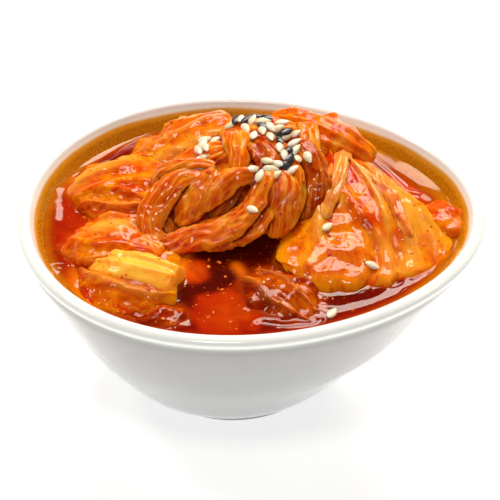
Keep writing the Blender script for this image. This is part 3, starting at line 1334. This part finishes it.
@dataclass(frozen=True)
class Softbox:
    """A rectangular light that faces the bowl.

    azimuth is degrees from the back towards the right, elevation degrees above the table,
    and radiance how bright its face is, with 1 as white.
    """

    name: str
    azimuth: float
    elevation: float
    distance: float
    width: float
    height: float
    radiance: float
    colour: tuple[float, float, float] = (1.0, 0.96, 0.92)


@dataclass
class Studio:
    """The floor, the soft lights and the camera."""

    boxes: Sequence[Softbox] = (
        Softbox("back_softbox", 0, 62, 0.9, 0.60, 0.15, 16.0, (1.0, 0.91, 0.82)),
        Softbox("streak_softbox", 20, 34, 0.9, 0.32, 0.22, 12.0, (1.0, 0.88, 0.76)),
        Softbox("left_band_softbox", 12, 49, 0.9, 0.26, 0.14, 16.0, (1.0, 0.88, 0.76)),
        Softbox("right_band_softbox", -16, 50, 0.9, 0.22, 0.12, 12.0, (1.0, 0.88, 0.76)),
        Softbox("left_softbox", -75, 52, 1.0, 0.16, 0.16, 16.0, (1.0, 0.92, 0.84)),
        Softbox("right_softbox", 80, 48, 1.0, 0.16, 0.16, 5.0),
        Softbox("front_softbox", 190, 64, 1.1, 0.24, 0.18, 16.0),
    )
    elevation: float = 38.0
    distance: float = 0.5
    target: tuple[float, float, float] = (-0.0003, -0.0013, 0.03257)
    lens: float = 175.86
    floor_colour: Colour = (0.92, 0.92, 0.92, 1.0)
    floor_glow: float = 0.62
    sky: float = 0.06

    @property
    def sight(self) -> Vector:
        """The way that the camera looks."""
        rise = math.radians(self.elevation)
        return Vector((0, math.cos(rise), -math.sin(rise)))

    def build(self) -> None:
        """Set up the floor, the lights, the sky and the camera."""
        self.floor()
        for box in self.boxes:
            self.softbox(box)
        world = bpy.data.worlds.new("studio")
        world.use_nodes = True
        world.node_tree.nodes["Background"].inputs["Strength"].default_value = self.sky
        world.node_tree.nodes["Background"].inputs["Color"].default_value = (1, 1, 1, 1)
        bpy.context.scene.world = world
        bpy.context.scene.view_settings.view_transform = "Standard"
        self.camera()

    def floor(self) -> None:
        """A wide white table."""
        bm = bmesh.new()
        bmesh.ops.create_grid(bm, x_segments=4, y_segments=4, size=3.0)
        mesh = bpy.data.meshes.new("floor")
        bm.to_mesh(mesh)
        bm.free()
        floor = bpy.data.objects.new("floor", mesh)
        bpy.context.scene.collection.objects.link(floor)
        graph = Graph("table")
        mesh.materials.append(graph.finish({
            "Base Color": self.floor_colour, "Roughness": 0.6, "Emission Color": (1, 1, 1, 1),
            "Emission Strength": self.floor_glow}))

    def softbox(self, box: Softbox) -> None:
        """One light, turned to the bowl."""
        data = bpy.data.lights.new(box.name, "AREA")
        data.shape = "RECTANGLE"
        data.size, data.size_y = box.width, box.height
        data.color = box.colour
        data.energy = box.radiance * math.pi * box.width * box.height
        light = bpy.data.objects.new(box.name, data)
        turn, rise = math.radians(box.azimuth), math.radians(box.elevation)
        away = Vector((math.sin(turn) * math.cos(rise), math.cos(turn) * math.cos(rise), math.sin(rise)))
        light.location = Vector(self.target) + away * box.distance
        light.rotation_euler = away.to_track_quat("Z", "Y").to_euler()
        bpy.context.scene.collection.objects.link(light)

    def camera(self) -> None:
        """The camera, which looks down on the bowl from the front."""
        data = bpy.data.cameras.new("camera")
        data.lens = self.lens
        camera = bpy.data.objects.new("camera", data)
        camera.location = Vector(self.target) - self.sight * self.distance
        camera.rotation_euler = (math.radians(90 - self.elevation), 0, 0)
        bpy.context.scene.collection.objects.link(camera)
        bpy.context.scene.camera = camera


def main() -> None:
    """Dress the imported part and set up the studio."""
    logging.basicConfig(level=logging.INFO, format="%(name)s %(message)s")
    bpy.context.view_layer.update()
    bowl = Bowl()
    _, wall = bowl.build()
    ground = Cabbages().build()
    Juice(bowl, wall, ground).build()
    studio = Studio()
    sesame = Sesame(ground.tree, studio.sight)
    sesame.build("white_sesame", WHITE_SEEDS, Dry("white_sesame", tint("F0DCA8"), tint("FFFAE8"), 3.0, 0.4), Slot.STRIP)
    sesame.build("black_sesame", BLACK_SEEDS, Dry("black_sesame", tint("141418"), tint("34343C"), 3.0, 0.35), Slot.STRIP)
    scatter = Scatter(ground.tree, bowl)
    flakes = Scatter(ground.tree, bowl, 0.2, 0.55)
    flakes.build("chili_flakes", flakes.spots(90, 1, True), 0.2, 0.3,
                 Dry("chili", tint("C81C00"), tint("EC4400"), 0.8, 0.4, 0.2, 0.2), Slot.LEAF)
    beads = Scatter(ground.tree, bowl, 0.10, 0.34)
    beads.build("sauce_beads", beads.spots(420, 2, True), 0.4, 0.0,
                Dry("sauce_bead", tint("E45400"), tint("FA8C10"), 3.0, 0.04, 1.0, 0.6), Slot.LEAF)
    scatter.build("floating_crumbs", scatter.spots(110, 3, False), 0.4, 0.25,
                  Dry("crumb", tint("C83000"), tint("FF8C10"), 0.8, 0.4, 0.0, 0.2), Slot.JUICE)
    studio.build()


if __name__ == "__main__":
    main()
